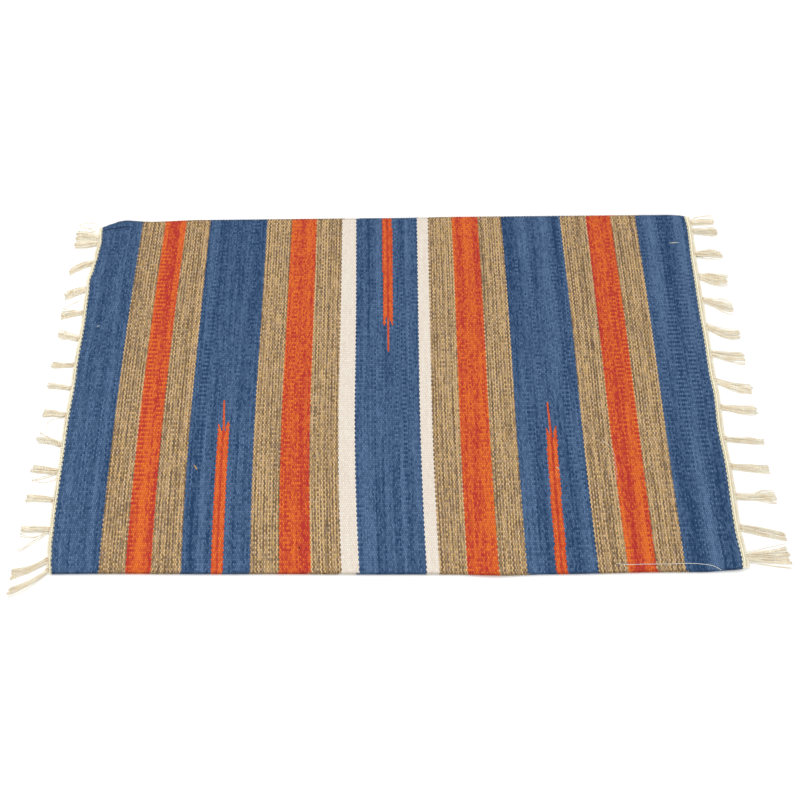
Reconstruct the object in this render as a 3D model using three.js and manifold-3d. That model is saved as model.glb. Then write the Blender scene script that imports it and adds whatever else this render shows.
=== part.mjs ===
// A flat-woven striped rug lying on a floor, with a knotted fringe at both ends.
// Millimetres, +Z up. X runs along the warp, the long way of the rug, and Y along the weft.
// The origin is on the floor, under the middle of the woven cloth.

import * as THREE from "three";
import { mergeVertices } from "three/addons/utils/BufferGeometryUtils.js";
import Module from "manifold-3d";

// Woven cloth
const clothLength = 900;
const clothWidth = 600;
const clothThickness = 3;
const rimDrop = 0.9;          // how far the rounded upper face falls at its very edge
const edgeBlend = 60;         // how far inwards an uneven edge still shows
const clothCells = { alongX: 28, alongY: 36 };
const crowding = 0.7;         // how much closer the grid lines are towards the edges
const leastLift = 0.15;       // anything flatter than this lies on the floor

// Heading strip, where the last picks hold the warp ends
const parting = 0.3;          // between the cloth's edge and the strip
const stripSection = [        // across the strip, from the cloth outwards
  { share: 0.0, height: 2.0 },
  { share: 0.45, height: 2.2 },
  { share: 0.8, height: 2.9 },
  { share: 1.0, height: 1.7 },
];

// Tassels: the warp ends, knotted together in bunches and left loose on the floor
const knot = { alongX: 2.5, alongY: 2.9, height: 3.7 };
const lockWidth = 1.7;
const lockHeight = 1.2;
const lockFill = 0.74;        // share of a tassel's tip that its locks cover
const lockSteps = 2;
const upperLayer = 1.5;       // every other lock starts this much higher in the knot
const bunchWidth = 4.0;       // of all the locks together, where they leave the knot
const rootInset = 0.8;        // how deep knots and locks sit in the strip's outer edge
const unevenEnds = 5;         // between the shortest and the longest lock

// How far each edge of the cloth stands out from a true rectangle.
const leftEdge = [
  { at: -300, out: -7 },
  { at: -280, out: -4 },
  { at: -250, out: -1.5 },
  { at: -200, out: 0.3 },
  { at: -130, out: 1.1 },
  { at: -60, out: 2.2 },
  { at: 0, out: 1 },
  { at: 35, out: 1.8 },
  { at: 100, out: 0.6 },
  { at: 160, out: 1.8 },
  { at: 182, out: 2.7 },
  { at: 205, out: -0.5 },
  { at: 232, out: -3.5 },
  { at: 260, out: -5.5 },
  { at: 300, out: -4 },
];
const rightEdge = [
  { at: -300, out: 3 },
  { at: -289, out: 4.2 },
  { at: -236, out: 1.4 },
  { at: -142, out: 2.6 },
  { at: -83, out: 0.3 },
  { at: -28, out: 2.6 },
  { at: 12, out: 0.9 },
  { at: 66, out: 1.6 },
  { at: 117, out: 1 },
  { at: 212, out: 1.6 },
  { at: 280, out: 3.4 },
  { at: 300, out: 1.6 },
];
const farEdge = [
  { at: -450, out: -13 },
  { at: -436, out: -7.3 },
  { at: -424, out: -3.8 },
  { at: -412, out: -2 },
  { at: -375, out: -2.9 },
  { at: -300, out: 0 },
  { at: 0, out: 1 },
  { at: 100, out: 2.6 },
  { at: 425, out: 3.4 },
  { at: 440, out: 2.2 },
  { at: 450, out: -0.5 },
];
const nearEdge = [
  { at: -450, out: -2.7 },
  { at: -400, out: -2.8 },
  { at: -200, out: -0.9 },
  { at: 0, out: 1.2 },
  { at: 75, out: 2 },
  { at: 130, out: 4.4 },
  { at: 200, out: 2.7 },
  { at: 350, out: 0.9 },
  { at: 400, out: 1.2 },
  { at: 440, out: -0.8 },
  { at: 450, out: -3 },
];

// Places where the cloth comes up off the floor.
const lifts = [
  { x: -428, y: 296, reachX: 26, reachY: 9, height: 4.5 },
  { x: -450, y: 184, reachX: 16, reachY: 15, height: 1.8 },
  { x: 456, y: -304, reachX: 34, reachY: 26, height: 4.5 },
  { x: 130, y: -304, reachX: 26, reachY: 12, height: 1.2 },
];

// Each tassel: where its knot is, where the middle of its tip is, how wide the tip fans out.
const leftTassels = [
  { root: 287, tip: 292, fan: 12, locks: 5 },
  { root: 272, tip: 269, fan: 14, locks: 5 },
  { root: 259, tip: 254, fan: 8.5, locks: 4 },
  { root: 218, tip: 203, fan: 12, locks: 5 },
  { root: 167, tip: 157.5, fan: 15, locks: 5 },
  { root: 124, tip: 124, fan: 18, locks: 5 },
  { root: 78.5, tip: 89, fan: 12, locks: 5 },
  { root: 32, tip: 33, fan: 10.5, locks: 5 },
  { root: -10, tip: -4, fan: 9, locks: 5 },
  { root: -56, tip: -50, fan: 10, locks: 5 },
  { root: -103.5, tip: -89, fan: 17, locks: 5 },
  { root: -143, tip: -140, fan: 10, locks: 5 },
  { root: -160, tip: -157, fan: 1.5, locks: 1 },
  { root: -189, tip: -184, fan: 9.5, locks: 5 },
  { root: -234.5, tip: -236, fan: 15, locks: 5 },
  { root: -239, tip: -261, fan: 3.5, locks: 2 },
  { root: -279, tip: -296, fan: 10, locks: 5 },
  { root: -297, tip: -322, fan: 10, locks: 5 },
];
const rightTassels = [
  { root: 287, tip: 295, fan: 17, locks: 6 },
  { root: 270, tip: 272.5, fan: 13, locks: 5 },
  { root: 225, tip: 229.5, fan: 13.5, locks: 5 },
  { root: 189, tip: 179.5, fan: 20, locks: 6 },
  { root: 139, tip: 129.5, fan: 20, locks: 6 },
  { root: 91.5, tip: 79.5, fan: 15, locks: 5 },
  { root: 43.5, tip: 37.5, fan: 17, locks: 5 },
  { root: -4.5, tip: -19, fan: 15, locks: 5 },
  { root: -49.5, tip: -55.5, fan: 14, locks: 5 },
  { root: -100.5, tip: -103.5, fan: 12, locks: 5 },
  { root: -143.5, tip: -147.5, fan: 11.5, locks: 5 },
  { root: -190, tip: -194, fan: 20, locks: 5 },
  { root: -238, tip: -249.5, fan: 11, locks: 5 },
  { root: -281, tip: -279, fan: 26, locks: 6 },
];

// The two ends. The tips lie on a slanted line, reach + slant * y from the middle.
const leftEnd = {
  side: -1, edge: leftEdge, strip: 4.8, tassels: leftTassels, reach: 490, slant: -0.0175,
};
const rightEnd = {
  side: 1, edge: rightEdge, strip: 7.4, tassels: rightTassels, reach: 507, slant: -0.0359,
};

const cottonBlue = new THREE.MeshStandardMaterial({
  color: 0x466184, roughness: 0.95, metalness: 0,
});
const creamCotton = new THREE.MeshStandardMaterial({
  color: 0xe6d9bd, roughness: 0.92, metalness: 0,
});

const wasm = await Module();
wasm.setup();

function smooth(t) {
  const s = THREE.MathUtils.clamp(t, 0, 1);
  return s * s * (3 - 2 * s);
}

// Reads a table of { at, out } rows, easing from each row to the next.
function outAt(table, at) {
  if (at <= table[0].at) return table[0].out;
  for (let i = 1; i < table.length; i += 1) {
    const before = table[i - 1];
    const after = table[i];
    if (at <= after.at) {
      const share = smooth((at - before.at) / (after.at - before.at));
      return before.out + (after.out - before.out) * share;
    }
  }
  return table[table.length - 1].out;
}

// A number from -0.5 to 0.5 that differs from one index to the next.
function uneven(index) {
  const goldenShare = 0.6180339887;
  return (index * goldenShare) % 1 - 0.5;
}

// The place of a grid line from -length / 2 to length / 2. The lines draw closer towards
// the edges, where the cloth is uneven and its rim is rounded.
function gridLine(length, cells, index) {
  const even = (2 * index) / cells - 1;
  const crowded = Math.sin((Math.PI / 2) * even);
  return (length / 2) * (crowding * crowded + (1 - crowding) * even);
}

function liftAt(x, y) {
  let lift = 0;
  for (const place of lifts) {
    const across = (x - place.x) / place.reachX;
    const along = (y - place.y) / place.reachY;
    lift += place.height * Math.exp(-across * across - along * along);
  }
  return lift < leastLift ? 0 : lift;
}

// Moves a point of the true rectangle to where it lies in the uneven cloth.
function onCloth(x, y) {
  const halfLength = clothLength / 2;
  const halfWidth = clothWidth / 2;
  const nearRight = smooth((x - halfLength + edgeBlend) / edgeBlend);
  const nearLeft = smooth((-x - halfLength + edgeBlend) / edgeBlend);
  const nearFar = smooth((y - halfWidth + edgeBlend) / edgeBlend);
  const nearNear = smooth((-y - halfWidth + edgeBlend) / edgeBlend);
  return {
    x: x + nearRight * outAt(rightEdge, y) - nearLeft * outAt(leftEdge, y),
    y: y + nearFar * outAt(farEdge, x) - nearNear * outAt(nearEdge, x),
  };
}

function wovenCloth() {
  const { alongX, alongY } = clothCells;
  const geometry = new THREE.BoxGeometry(1, 1, 1, alongX, alongY, 1);
  const position = geometry.attributes.position;
  for (let i = 0; i < position.count; i += 1) {
    const column = Math.round((position.getX(i) + 0.5) * alongX);
    const row = Math.round((position.getY(i) + 0.5) * alongY);
    const upper = position.getZ(i) > 0;
    const onRim = column === 0 || column === alongX || row === 0 || row === alongY;
    const place = onCloth(
      gridLine(clothLength, alongX, column),
      gridLine(clothWidth, alongY, row),
    );
    const height = upper ? clothThickness - (onRim ? rimDrop : 0) : 0;
    position.setXYZ(i, place.x, place.y, height + liftAt(place.x, place.y));
  }
  return geometry;
}

function toSolid(geometry) {
  const plain = geometry.clone();
  plain.deleteAttribute("normal");
  plain.deleteAttribute("uv");
  const merged = mergeVertices(plain);
  const mesh = new wasm.Mesh({
    numProp: 3,
    vertProperties: new Float32Array(merged.attributes.position.array),
    triVerts: new Uint32Array(merged.index.array),
  });
  return new wasm.Manifold(mesh);
}

function toGeometry(solid) {
  const mesh = solid.getMesh();
  const geometry = new THREE.BufferGeometry();
  geometry.setAttribute("position", new THREE.BufferAttribute(mesh.vertProperties, 3));
  geometry.setIndex(new THREE.BufferAttribute(mesh.triVerts, 1));
  geometry.computeVertexNormals();
  return geometry;
}

// Distance of the cloth's edge from the middle of the rug, at y along one end.
function edgeReach(end, y) {
  return clothLength / 2 + outAt(end.edge, y);
}

// Where y along the true edge lies, once the far and near edges have drawn in.
function alongEdge(end, y) {
  return onCloth((end.side * clothLength) / 2, y).y;
}

function headingStrip(end) {
  const across = stripSection.length - 1;
  const along = clothCells.alongY;
  const geometry = new THREE.BoxGeometry(1, 1, 1, across, along, 1);
  const position = geometry.attributes.position;
  for (let i = 0; i < position.count; i += 1) {
    const column = Math.round((position.getX(i) + 0.5) * across);
    const section = stripSection[end.side > 0 ? column : across - column];
    const row = Math.round((position.getY(i) + 0.5) * along);
    const y = gridLine(clothWidth, along, row);
    const width = end.strip * (1 + 0.12 * Math.sin(y / 19));
    const reach = edgeReach(end, y) + parting + width * section.share;
    const lift = liftAt(end.side * reach, y);
    const height = position.getZ(i) > 0 ? section.height : 0;
    position.setXYZ(i, end.side * reach, alongEdge(end, y), height + lift);
  }
  return toSolid(geometry);
}

function tasselKnot(x, y, lift) {
  const geometry = new THREE.SphereGeometry(1, 8, 4);
  geometry.scale(knot.alongX, knot.alongY, knot.height / 2);
  geometry.translate(x, y, knot.height / 2 + lift);
  return toSolid(geometry);
}

// One lock: a four-sided strand from the knot down to the floor and out to the tip.
function tasselLock(end, tassel, index, root) {
  const offset = (index + 0.5) / tassel.locks - 0.5;
  const tipY = tassel.tip + offset * tassel.fan;
  const tipReach = end.reach + end.slant * tipY + unevenEnds * uneven(index + tassel.locks);
  const width = Math.min(lockWidth, (lockFill * tassel.fan) / tassel.locks);
  const startHeight = index % 2 === 0 ? 0 : upperLayer;
  const geometry = new THREE.BoxGeometry(1, 1, 1, lockSteps, 1, 1);
  const position = geometry.attributes.position;
  for (let i = 0; i < position.count; i += 1) {
    const outward = end.side > 0 ? position.getX(i) + 0.5 : 0.5 - position.getX(i);
    const reach = root.reach + (tipReach - root.reach) * outward;
    const middle = root.y + (tassel.tip - root.y) * outward;
    const spread = bunchWidth + (tassel.fan - bunchWidth) * outward;
    const floor = (startHeight + root.lift) * (1 - smooth(outward));
    position.setXYZ(
      i,
      end.side * reach,
      middle + offset * spread + position.getY(i) * width,
      floor + (position.getZ(i) + 0.5) * lockHeight,
    );
  }
  return toSolid(geometry);
}

function fringe(end) {
  let solid = headingStrip(end);
  for (const tassel of end.tassels) {
    const y = alongEdge(end, tassel.root);
    const reach = edgeReach(end, tassel.root) + parting + end.strip - rootInset;
    const lift = liftAt(end.side * reach, tassel.root);
    if (tassel.locks > 2) {
      solid = solid.add(tasselKnot(end.side * reach, y, lift));
    }
    for (let index = 0; index < tassel.locks; index += 1) {
      solid = solid.add(tasselLock(end, tassel, index, { reach, y, lift }));
    }
  }
  return toGeometry(solid);
}

function named(name, geometry, material) {
  const mesh = new THREE.Mesh(geometry, material);
  mesh.name = name;
  return mesh;
}

const rug = new THREE.Group();
rug.add(named("rug_body", wovenCloth(), cottonBlue));
rug.add(named("fringe_left", fringe(leftEnd), creamCotton));
rug.add(named("fringe_right", fringe(rightEnd), creamCotton));

export default rug;
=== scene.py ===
import math
import random

import bpy
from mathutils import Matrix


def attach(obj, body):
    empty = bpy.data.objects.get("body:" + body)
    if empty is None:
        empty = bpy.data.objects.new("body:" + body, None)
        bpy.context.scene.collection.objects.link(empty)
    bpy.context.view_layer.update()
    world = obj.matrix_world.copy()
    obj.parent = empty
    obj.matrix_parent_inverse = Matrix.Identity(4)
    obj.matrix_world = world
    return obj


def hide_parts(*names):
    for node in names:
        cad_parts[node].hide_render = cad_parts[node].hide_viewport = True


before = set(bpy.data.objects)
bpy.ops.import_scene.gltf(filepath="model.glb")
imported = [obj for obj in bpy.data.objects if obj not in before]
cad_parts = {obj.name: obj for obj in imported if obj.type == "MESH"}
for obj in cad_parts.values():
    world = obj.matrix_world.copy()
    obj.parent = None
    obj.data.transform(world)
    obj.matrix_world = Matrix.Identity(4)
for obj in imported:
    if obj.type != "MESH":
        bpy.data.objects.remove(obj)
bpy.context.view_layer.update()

# The rug lies on the floor, X along its warp and Y along its weft, with the origin under
# the middle of the woven cloth. Tables are in millimetres and meshes in metres.

MM = 0.001

# The studio, in metres and degrees
CAMERA_PLACE = (0.0142, -1.0146, 1.5264)
CAMERA_TURN = (32.7715, 0.3365, -0.2852)
LENS = 58.0
SENSOR = 36.0
LAMP_PLACE = (-1.2, 1.6, 2.6)
LAMP_SIZE = 1.2
LAMP_POWER = 30
WORLD_LIGHT = 1.0
FLOOR_REACH = 6.0
FLOOR_COLOURS = [(0.955, 0.955, 0.95, 1.0), (0.975, 0.975, 0.97, 1.0)]
# The world and the lamp together light the cloth this many times as much as the world alone
STUDIO_LIGHT = 1.2
# Light passes through loose cotton, so a bunch of it looks brighter than a flat sheet would
COTTON_GLOW = 1.14
MOST_WHITE = 0.96

# The cloth: its rim drops a little, its uneven edges blend into the rest of it, and its grid
# of columns crowds towards both ends
CLOTH_LENGTH = 900
CLOTH_WIDTH = 600
CLOTH_THICKNESS = 3.0
RIM_DROP = 1.1
EDGE_BLEND = 60
CROWDING = 0.7
CLOTH_COLUMNS = 56
LEAST_LIFT = 0.15

# The weave: each warp is a row of short weft floats, laid like bricks from row to row
WARPS = 168
WARP_PITCH = CLOTH_WIDTH / WARPS
STEPS_PER_WARP = 4
RIB_DEPTH = 0.45
RIB_UNEVENNESS = 0.25
PICK_PITCH = 1.2

# The selvedges: the weft's loops round the outermost warp
LOOP_HALF_WIDTH = 0.8
LOOP_HALF_HEIGHT = 0.85
LOOP_YARN_RADIUS = 0.62
LOOP_STEPS = 8
SELVEDGE_STEPS = 180

# The headings: a cream cord twined along each end of the cloth, then the turned warp ends
CORD_RADIUS = 1.35
CORD_HEIGHT = 1.9
CORD_OUT = CORD_RADIUS * 0.8
CORD_REACH = CORD_RADIUS * 1.7
CORD_FLATNESS = 0.62
CORD_STEP = 0.6
TWINE_PITCH = 2 * WARP_PITCH
WRAP_PITCH = 2.4
WRAP_HEIGHT = 1.5
WRAP_HALF_HEIGHT = 0.65
WRAP_YARN_RADIUS = 0.8
HEADING_STEPS = 120

# The yarns of the tassels, whose bunch is narrow and thick at its root, and their knots
YARN_RADIUS = 0.5
YARN_FLATNESS = 0.72
YARN_TWIST = 9.0
YARN_STEP = 2.4
YARN_BENDS = 16
ROOT_INSET = 1.2
ROOT_SQUEEZE = 0.75
ROOT_RISE = 0.7
ROOT_FALL = 0.5
ROOT_THICKNESS = 2.4
TIP_THICKNESS = 1.2
KNOT_LENGTH = 3.0
KNOT_HEIGHT = 1.75
KNOT_PITCH = 1.5
KNOT_HALF_WIDTH = 3.0
KNOT_HALF_HEIGHT = 1.1
KNOT_YARN_RADIUS = 0.62
KNOT_STEPS = 6

# How far each edge of the cloth stands out from a true rectangle: (place, out)
LEFT_EDGE = [
    (-300, -5.8), (-280, -2.8), (-250, -0.3), (-200, 1.5), (-130, 2.3), (-60, 3.4), (0, 2.2),
    (35, 3), (100, 1.8), (160, 3), (182, 3.9), (205, 0.7), (232, -2.3), (260, -4.3),
    (300, -2.8),
]
RIGHT_EDGE = [
    (-300, 4.6), (-289, 5.8), (-236, 3), (-142, 4.2), (-83, 2), (-28, 4.2), (12, 2.5),
    (66, 3.2), (117, 2.6), (212, 3.2), (280, 5), (300, 3.2),
]
FAR_EDGE = [
    (-450, -13), (-436, -7.3), (-424, -3.8), (-412, -2), (-375, -2.9), (-300, 0), (0, 1),
    (100, 2.6), (425, 3.4), (440, 2.2), (450, -0.5),
]
NEAR_EDGE = [
    (-450, -3.4), (-400, -3.5), (-200, -1.6), (0, 0.4), (75, 1), (130, 3.4), (200, 1.7),
    (350, -0.2), (400, 0), (440, -2.2), (450, -4.4),
]

# Where the cloth comes up off the floor: (x, y, reach along x, reach along y, height)
LIFTS = [
    (-424, 301, 27, 6.5, 4.6),
    (-424, 272, 28, 8, 1.4),
    (-450, 184, 16, 15, 1.8),
    (456, -304, 34, 26, 1.5),
    (130, -304, 26, 12, 1.2),
]

# How far a stripe leans to the right at the far and at the near edge: (place, far, near)
LEAN_REACH = 280
LEAN = [
    (-450, 0, 0), (-388, 2.7, 5.2), (-353, 3, 5), (-320, 3, 6), (-284, 2, 6.6),
    (-235, 0, 5.6), (-194, -0.4, 6), (-154, 0.8, 6.8), (-115, -1, 8.4), (-76, -0.2, 8),
    (-53, -3.6, 9), (-30, -1, 7), (38, -0.2, 4.7), (55, 0.8, 6), (93, -1.5, 3),
    (134, -2.2, 3), (171, -3, 2.2), (262, -3.6, 3.5), (299, -1.4, 3.7), (340, -3.5, 1),
    (377, -2.2, 1.2), (450, 0, 0),
]

# The stripes in the order they are woven: (yarn, where it ends), starting at the left end
STRIPES = [
    ("blue", -388.2), ("marl", -353.4), ("shaded", -321), ("marl", -282.6), ("blue", -192.6),
    ("marl", -155.2), ("shaded", -115.6), ("marl", -76.4), ("cream", -53.2), ("blue", 38),
    ("cream", 54.6), ("marl", 92.8), ("shaded", 134), ("marl", 171), ("blue", 262.2),
    ("marl", 300.4), ("shaded", 340), ("marl", 377.5), ("blue", 448.6),
]

# Space-dyed bands across each blue and each shaded stripe, as (share of its width, turns,
# strength). The dye goes from light to dark and back once a turn.
BLUE_DYE = [
    [(0, 0.25, 0.15), (0.5, 0.5, 0.3), (0.65, 0.95, 0.15), (0.76, 1.5, 0.4), (0.95, 1.9, 0.4),
     (1, 2, 0.4)],
    [(0.03, 0.6, 0.4), (0.11, 1, 0.75), (0.19, 1.25, 0.8), (0.25, 1.5, 0.9),
     (0.35, 1.65, 0.4), (0.4, 2, 0.12), (0.45, 2.4, 0.25), (0.52, 2.5, 0.4), (0.66, 2.55, 0.55),
     (0.73, 3, 0.1), (0.81, 3.5, 0.6), (0.9, 3.6, 0.3), (1, 3.6, 0.35)],
    [(0, 0.3, 0.3), (0.21, 0.5, 0.7), (0.285, 0.75, 0.6), (0.34, 1, 0.5), (0.42, 1.25, 0.4),
     (0.5, 1.5, 0.6), (0.6, 1.9, 0.1), (0.71, 2.5, 0.6), (0.765, 2.75, 0.5), (0.81, 3, 0.55),
     (0.87, 3.25, 0.3), (0.93, 3.5, 0.2), (1, 3.8, 0.2)],
    [(0, 0.45, 0.7), (0.12, 0.5, 0.65), (0.235, 0.75, 0.6), (0.33, 1, 0.7), (0.41, 1.25, 0.5),
     (0.5, 1.5, 0.15), (0.62, 2, 0.25), (0.74, 2, 0.75), (0.81, 2.25, 0.7), (0.87, 2.5, 0.8),
     (0.96, 2.75, 0.5), (1, 2.9, 0.3)],
    [(0, 0.6, 0.2), (0.08, 0.75, 0.3), (0.24, 1, 1), (0.4, 1.25, 0.9), (0.55, 1.5, 1),
     (0.69, 1.75, 0.8), (0.82, 2, 0.9), (0.95, 2.25, 0.6), (1, 2.3, 0.4)],
]
WARM_DYE = [
    [(0, 0, 0.8), (0.22, 0.25, 0.9), (0.5, 0.5, 1), (0.76, 0.75, 0.8), (1, 1, 0.6)],
    [(0, 0.85, 0.5), (0.15, 1, 0.6), (0.3, 1.25, 0.4), (0.47, 1.5, 0.35), (0.59, 1.75, 0.4),
     (0.8, 2, 0.45), (1, 2.1, 0.45)],
    [(0, 0, 0.6), (0.175, 0.25, 0.6), (0.26, 0.5, 0.6), (0.36, 0.75, 0.4), (0.5, 1, 0.35),
     (0.71, 1.25, 0.5), (0.9, 1.5, 0.7), (1, 1.6, 0.7)],
    [(0.02, 0.5, 0.85), (0.2, 0.75, 0.8), (0.4, 1, 0.8), (0.56, 1.25, 0.8), (0.75, 1.5, 0.8),
     (0.91, 1.75, 0.7), (1, 1.85, 0.6)],
]
MOST_TURNS = 4.0
BLUE_DYE_DEPTH = 0.72
WARM_DYE_DEPTH = 0.85
# How much lighter or darker each blue stripe is as a whole
BLUE_CAST = [0, -0.12, 0.04, -0.04, 0]
# Painted light: how much paler the cloth's colour is made at its near edge, and darker at its far
# one
PAINTED_LIGHT_FALLOFF = 0.035
# How far along a pick its short and its long streaks reach
SHORT_STREAK = 14
LONG_STREAK = 90

# The marled yarn: two plies, cream and brown, that turn about each other by a step from pick
# to pick, and once in the twist's length along a pick
MARL_DEPTH = 0.8
MARL_STEP = 0.302
MARL_TWIST = 430
MARL_WOBBLE = 0.12
MARL_STREAK = 22

# The yarns, by the sRGB levels of their dark and their light side. Where a side has two
# colours, each float is a mix of them. Each float strays by these amounts from its yarn's tone,
# which goes from -1 to 1.
YARNS = {
    "blue": {"dark": [(34, 68, 109)], "light": [(98, 128, 167)],
             "stray": {"streak": 0.72, "own": 0.6}},
    "shaded": {"dark": [(200, 52, 56), (203, 60, 47)], "light": [(249, 120, 57), (250, 129, 44)],
               "stray": {"streak": 0.95, "own": 0.85}},
    "marl": {"dark": [(126, 98, 66), (119, 101, 85)], "light": [(237, 198, 133), (229, 194, 153)],
             "stray": {"short": 0.48, "long": 0.28, "pick": 0.48, "own": 0.52, "bands": 0.16}},
    "cream": {"dark": [(238, 221, 205)], "light": [(255, 248, 234)],
              "stray": {"streak": 0.4, "own": 0.5}},
    "orange": {"dark": [(222, 80, 42)], "light": [(253, 130, 60)],
               "stray": {"streak": 0.6, "own": 0.8}},
    "red": {"dark": [(184, 54, 46)], "light": [(220, 80, 58)],
            "stray": {"streak": 0.6, "own": 0.8}},
}

# Undyed cotton: the sRGB levels of its dark and its light side
HEADING = [(244, 234, 198), (255, 252, 230)]
COTTONS = {
    "cream": [(240, 222, 188), (255, 251, 234)],
    "edging": [(248, 233, 206), (255, 253, 236)],
    "bright": [(250, 238, 202), (255, 250, 226)],
    # The knots' cotton is darker than the rest: painted shade in the knots
    "knotted": [(190, 160, 122), (226, 200, 162)],
    "white": [(236, 236, 230), (250, 250, 246)],
}

# How dark the furrows between floats get, and a line beside each selvedge
FURROW_SHADE = 0.2
CREAM_FURROW_SHADE = 0.68
SELVEDGE_LINE = 298.4
SELVEDGE_SHADE = 0.78

# The darts: a bar with a red core and reddish outer picks points inwards from a long edge,
# and ends in a notch between two prongs, with a thin spike in the notch. Places across are
# measured from the origin, and depths from that long edge.
DARTS = [
    {"side": 1, "middle": -7.5, "lean": 0.9, "half_width": 7.4, "notch": 190,
     "prongs": (204.7, 207.6), "spike": (-6.3, -6.2), "depth": 251.6},
    {"side": -1, "middle": -235.3, "lean": 0, "half_width": 8.1, "notch": 216.5,
     "prongs": (229, 231.7), "spike": (-234.8, -237.2), "depth": 266.5},
    {"side": -1, "middle": 215.4, "lean": 3.2, "half_width": 7.2, "notch": 203,
     "prongs": (221.5, 222.3), "spike": (218.2, 216.7), "depth": 261.2},
]
SPIKE_HALF_WIDTH = 1.65
SPIKE_TAPER = 0.4
SPIKE_ROOT = 10
SPIKE_RED = 0.3
PRONG_RUN = 4.5
CORE_HALF_WIDTH = 1.6
CORE_RED = 0.85
CORE_WANDER = 0.7
CORE_STREAK = 9
OUTER_PICKS = 1.6
OUTER_RED = 0.45

# Bits of lint on the cloth, and painted shade along a crease near a corner: (start, end, half
# width, colour)
LINT_AND_CREASE_SHADE = [
    ((419, 247.2), (434, 247.8), 0.9, (214, 212, 196)),
    # Painted shade: two dark lines along the crease by the far left corner
    ((-456, 292.5), (-422, 288.6), 2.1, (44, 66, 100)),
    ((-440, 289), (-400, 289.4), 1.9, (36, 56, 88)),
    ((-273.5, -135), (-267.5, -145), 1.4, (196, 164, 112)),
    ((-131.5, -263), (-128, -263.4), 1.5, (70, 52, 48)),
    ((-431, 97), (-427, 101), 0.9, (196, 196, 180)),
    ((221, -141.5), (225.5, -149.5), 0.7, (232, 206, 180)),
]

# The tassels from the far end to the near one: where each comes out of the heading, where
# its middle lies and where it ends, each followed by its width there
LEFT_TASSELS = [
    (272.5, 11, 271, 13, 270, 15), (260.5, 10, 255, 11, 253.5, 10),
    (218.3, 10, 213, 12, 202, 12), (168.3, 9, 163, 13, 156, 13), (124.7, 7, 122.6, 9, 120, 12),
    (76.8, 8, 83, 10, 85.5, 10), (31.8, 5.5, 32, 7.5, 33, 8.5), (-9, 6, -5.3, 6.5, -3.4, 7),
    (-54, 7, -51, 8, -50, 9.5), (-102, 8.5, -95.5, 9, -93.5, 8), (-144.5, 7.5, -143, 9, -140, 9),
    (-188, 7, -185, 8, -184.5, 9), (-233, 8.5, -231.5, 8.5, -232, 8),
    (-279.6, 12, -290, 9, -297, 14), (-296, 6, -311, 8.5, -322, 9.5),
]
RIGHT_TASSELS = [
    (288.5, 8, 290.5, 10, 290.5, 9), (272.3, 8.5, 271, 10.5, 271, 10.5),
    (225.2, 9, 226.5, 13, 224.6, 10), (185, 10, 179.5, 17, 178.5, 16),
    (140, 9, 131.2, 14, 125, 14), (92.3, 9, 80, 12, 78, 12.5), (44, 8.5, 38.5, 12.5, 35.3, 14),
    (-4, 8, -14, 10, -19, 11.5), (-48.6, 8.5, -52.5, 9.5, -54.4, 11.5),
    (-99.5, 7.5, -101.8, 8, -103, 9), (-143, 8, -146, 8.5, -147.5, 9.5),
    (-189.7, 9, -191, 8.5, -190.5, 9.5), (-237, 9, -243.8, 9.5, -251, 9),
    (-283.4, 12, -279.5, 18, -278.5, 25),
]
# Each tassel is a few locks, which wave and end unevenly. A lock is some yarns, and a few
# yarns stand off each tassel.
LOCK_WIDTH = 2.7
LEAST_LOCKS = 3
YARNS_PER_LOCK = 7
LOCK_WAVE = 1.1
UNEVEN_LOCKS = 3.5
UNEVEN_YARNS = 2.0
FLYAWAYS = 3

# Strands that lie apart from their tassels, by twos, through these places. They come down
# to the floor from the knots.
STRAND_YARNS = 2
STRAND_RADIUS = 0.42
STRAND_RISE = 1.2
STRAND_DESCENT = (456, 12)
LEFT_STRANDS = [
    [(-455, 283), (-459, 296), (-472, 297), (-484, 294)],
    [(-453, 277), (-464, 284), (-475, 289), (-483, 293)],
    [(-457, 291), (-468, 287), (-483, 289)],
    [(-456, 281), (-468, 280), (-484, 283)],
    [(-460, 150), (-475, 141), (-487, 133)],
    [(-456, 127), (-471, 130), (-487, 132)],
    [(-456, 123), (-471, 118), (-488, 113)],
    [(-456, 77), (-467, 83), (-478, 90), (-488, 96)],
    [(-461, -58), (-473, -59), (-481, -64), (-482, -71), (-479, -78)],
    [(-458, -100), (-470, -94), (-480, -88), (-490, -81)],
    [(-458, -99), (-470, -92), (-480, -87), (-490, -83)],
    [(-456, -148), (-468, -150), (-481, -154), (-490, -158)],
    [(-456, -147), (-455, -154), (-468, -160), (-480, -160), (-490, -156)],
    [(-459, -149), (-475, -155), (-490, -159)],
    [(-455, -233), (-464, -239), (-475, -244), (-493, -242)],
    [(-455, -234), (-465, -240), (-477, -243), (-493, -239)],
    [(-455, -235), (-466, -243), (-476, -250), (-485, -258), (-494, -262)],
    [(-454, -236), (-464, -245), (-472, -251), (-480, -257), (-491, -265)],
]
RIGHT_STRANDS = [
    [(460, 289), (469, 298), (480, 303), (495, 303)],
    [(458, 291), (467, 299), (480, 301), (494, 300)],
    [(462, 268), (475, 265), (488, 262), (496, 257)],
    [(462, 228), (471, 233), (481, 236), (493, 233)],
    [(462, 222), (474, 218), (486, 219)],
    [(462, 187), (474, 190), (486, 187), (499, 187)],
    [(461, 181), (475, 171), (494, 167)],
    [(459, 143), (471, 141), (486, 142), (497, 139)],
    [(460, 136), (474, 126), (485, 118), (500, 112)],
    [(461, 90), (471, 82), (483, 73), (493, 67)],
    [(462, 41), (481, 31), (495, 25), (504, 23)],
    [(462, -8), (474, -18), (488, -24), (506, -25)],
    [(462, -50), (475, -56), (489, -60), (506, -63)],
    [(462, -188), (481, -186), (496, -181), (511, -181)],
    [(462, -189), (481, -187), (496, -183), (511, -184)],
    [(462, -191), (485, -196), (503, -200), (513, -202)],
    [(462, -190), (485, -194), (503, -198), (513, -200)],
]

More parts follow.
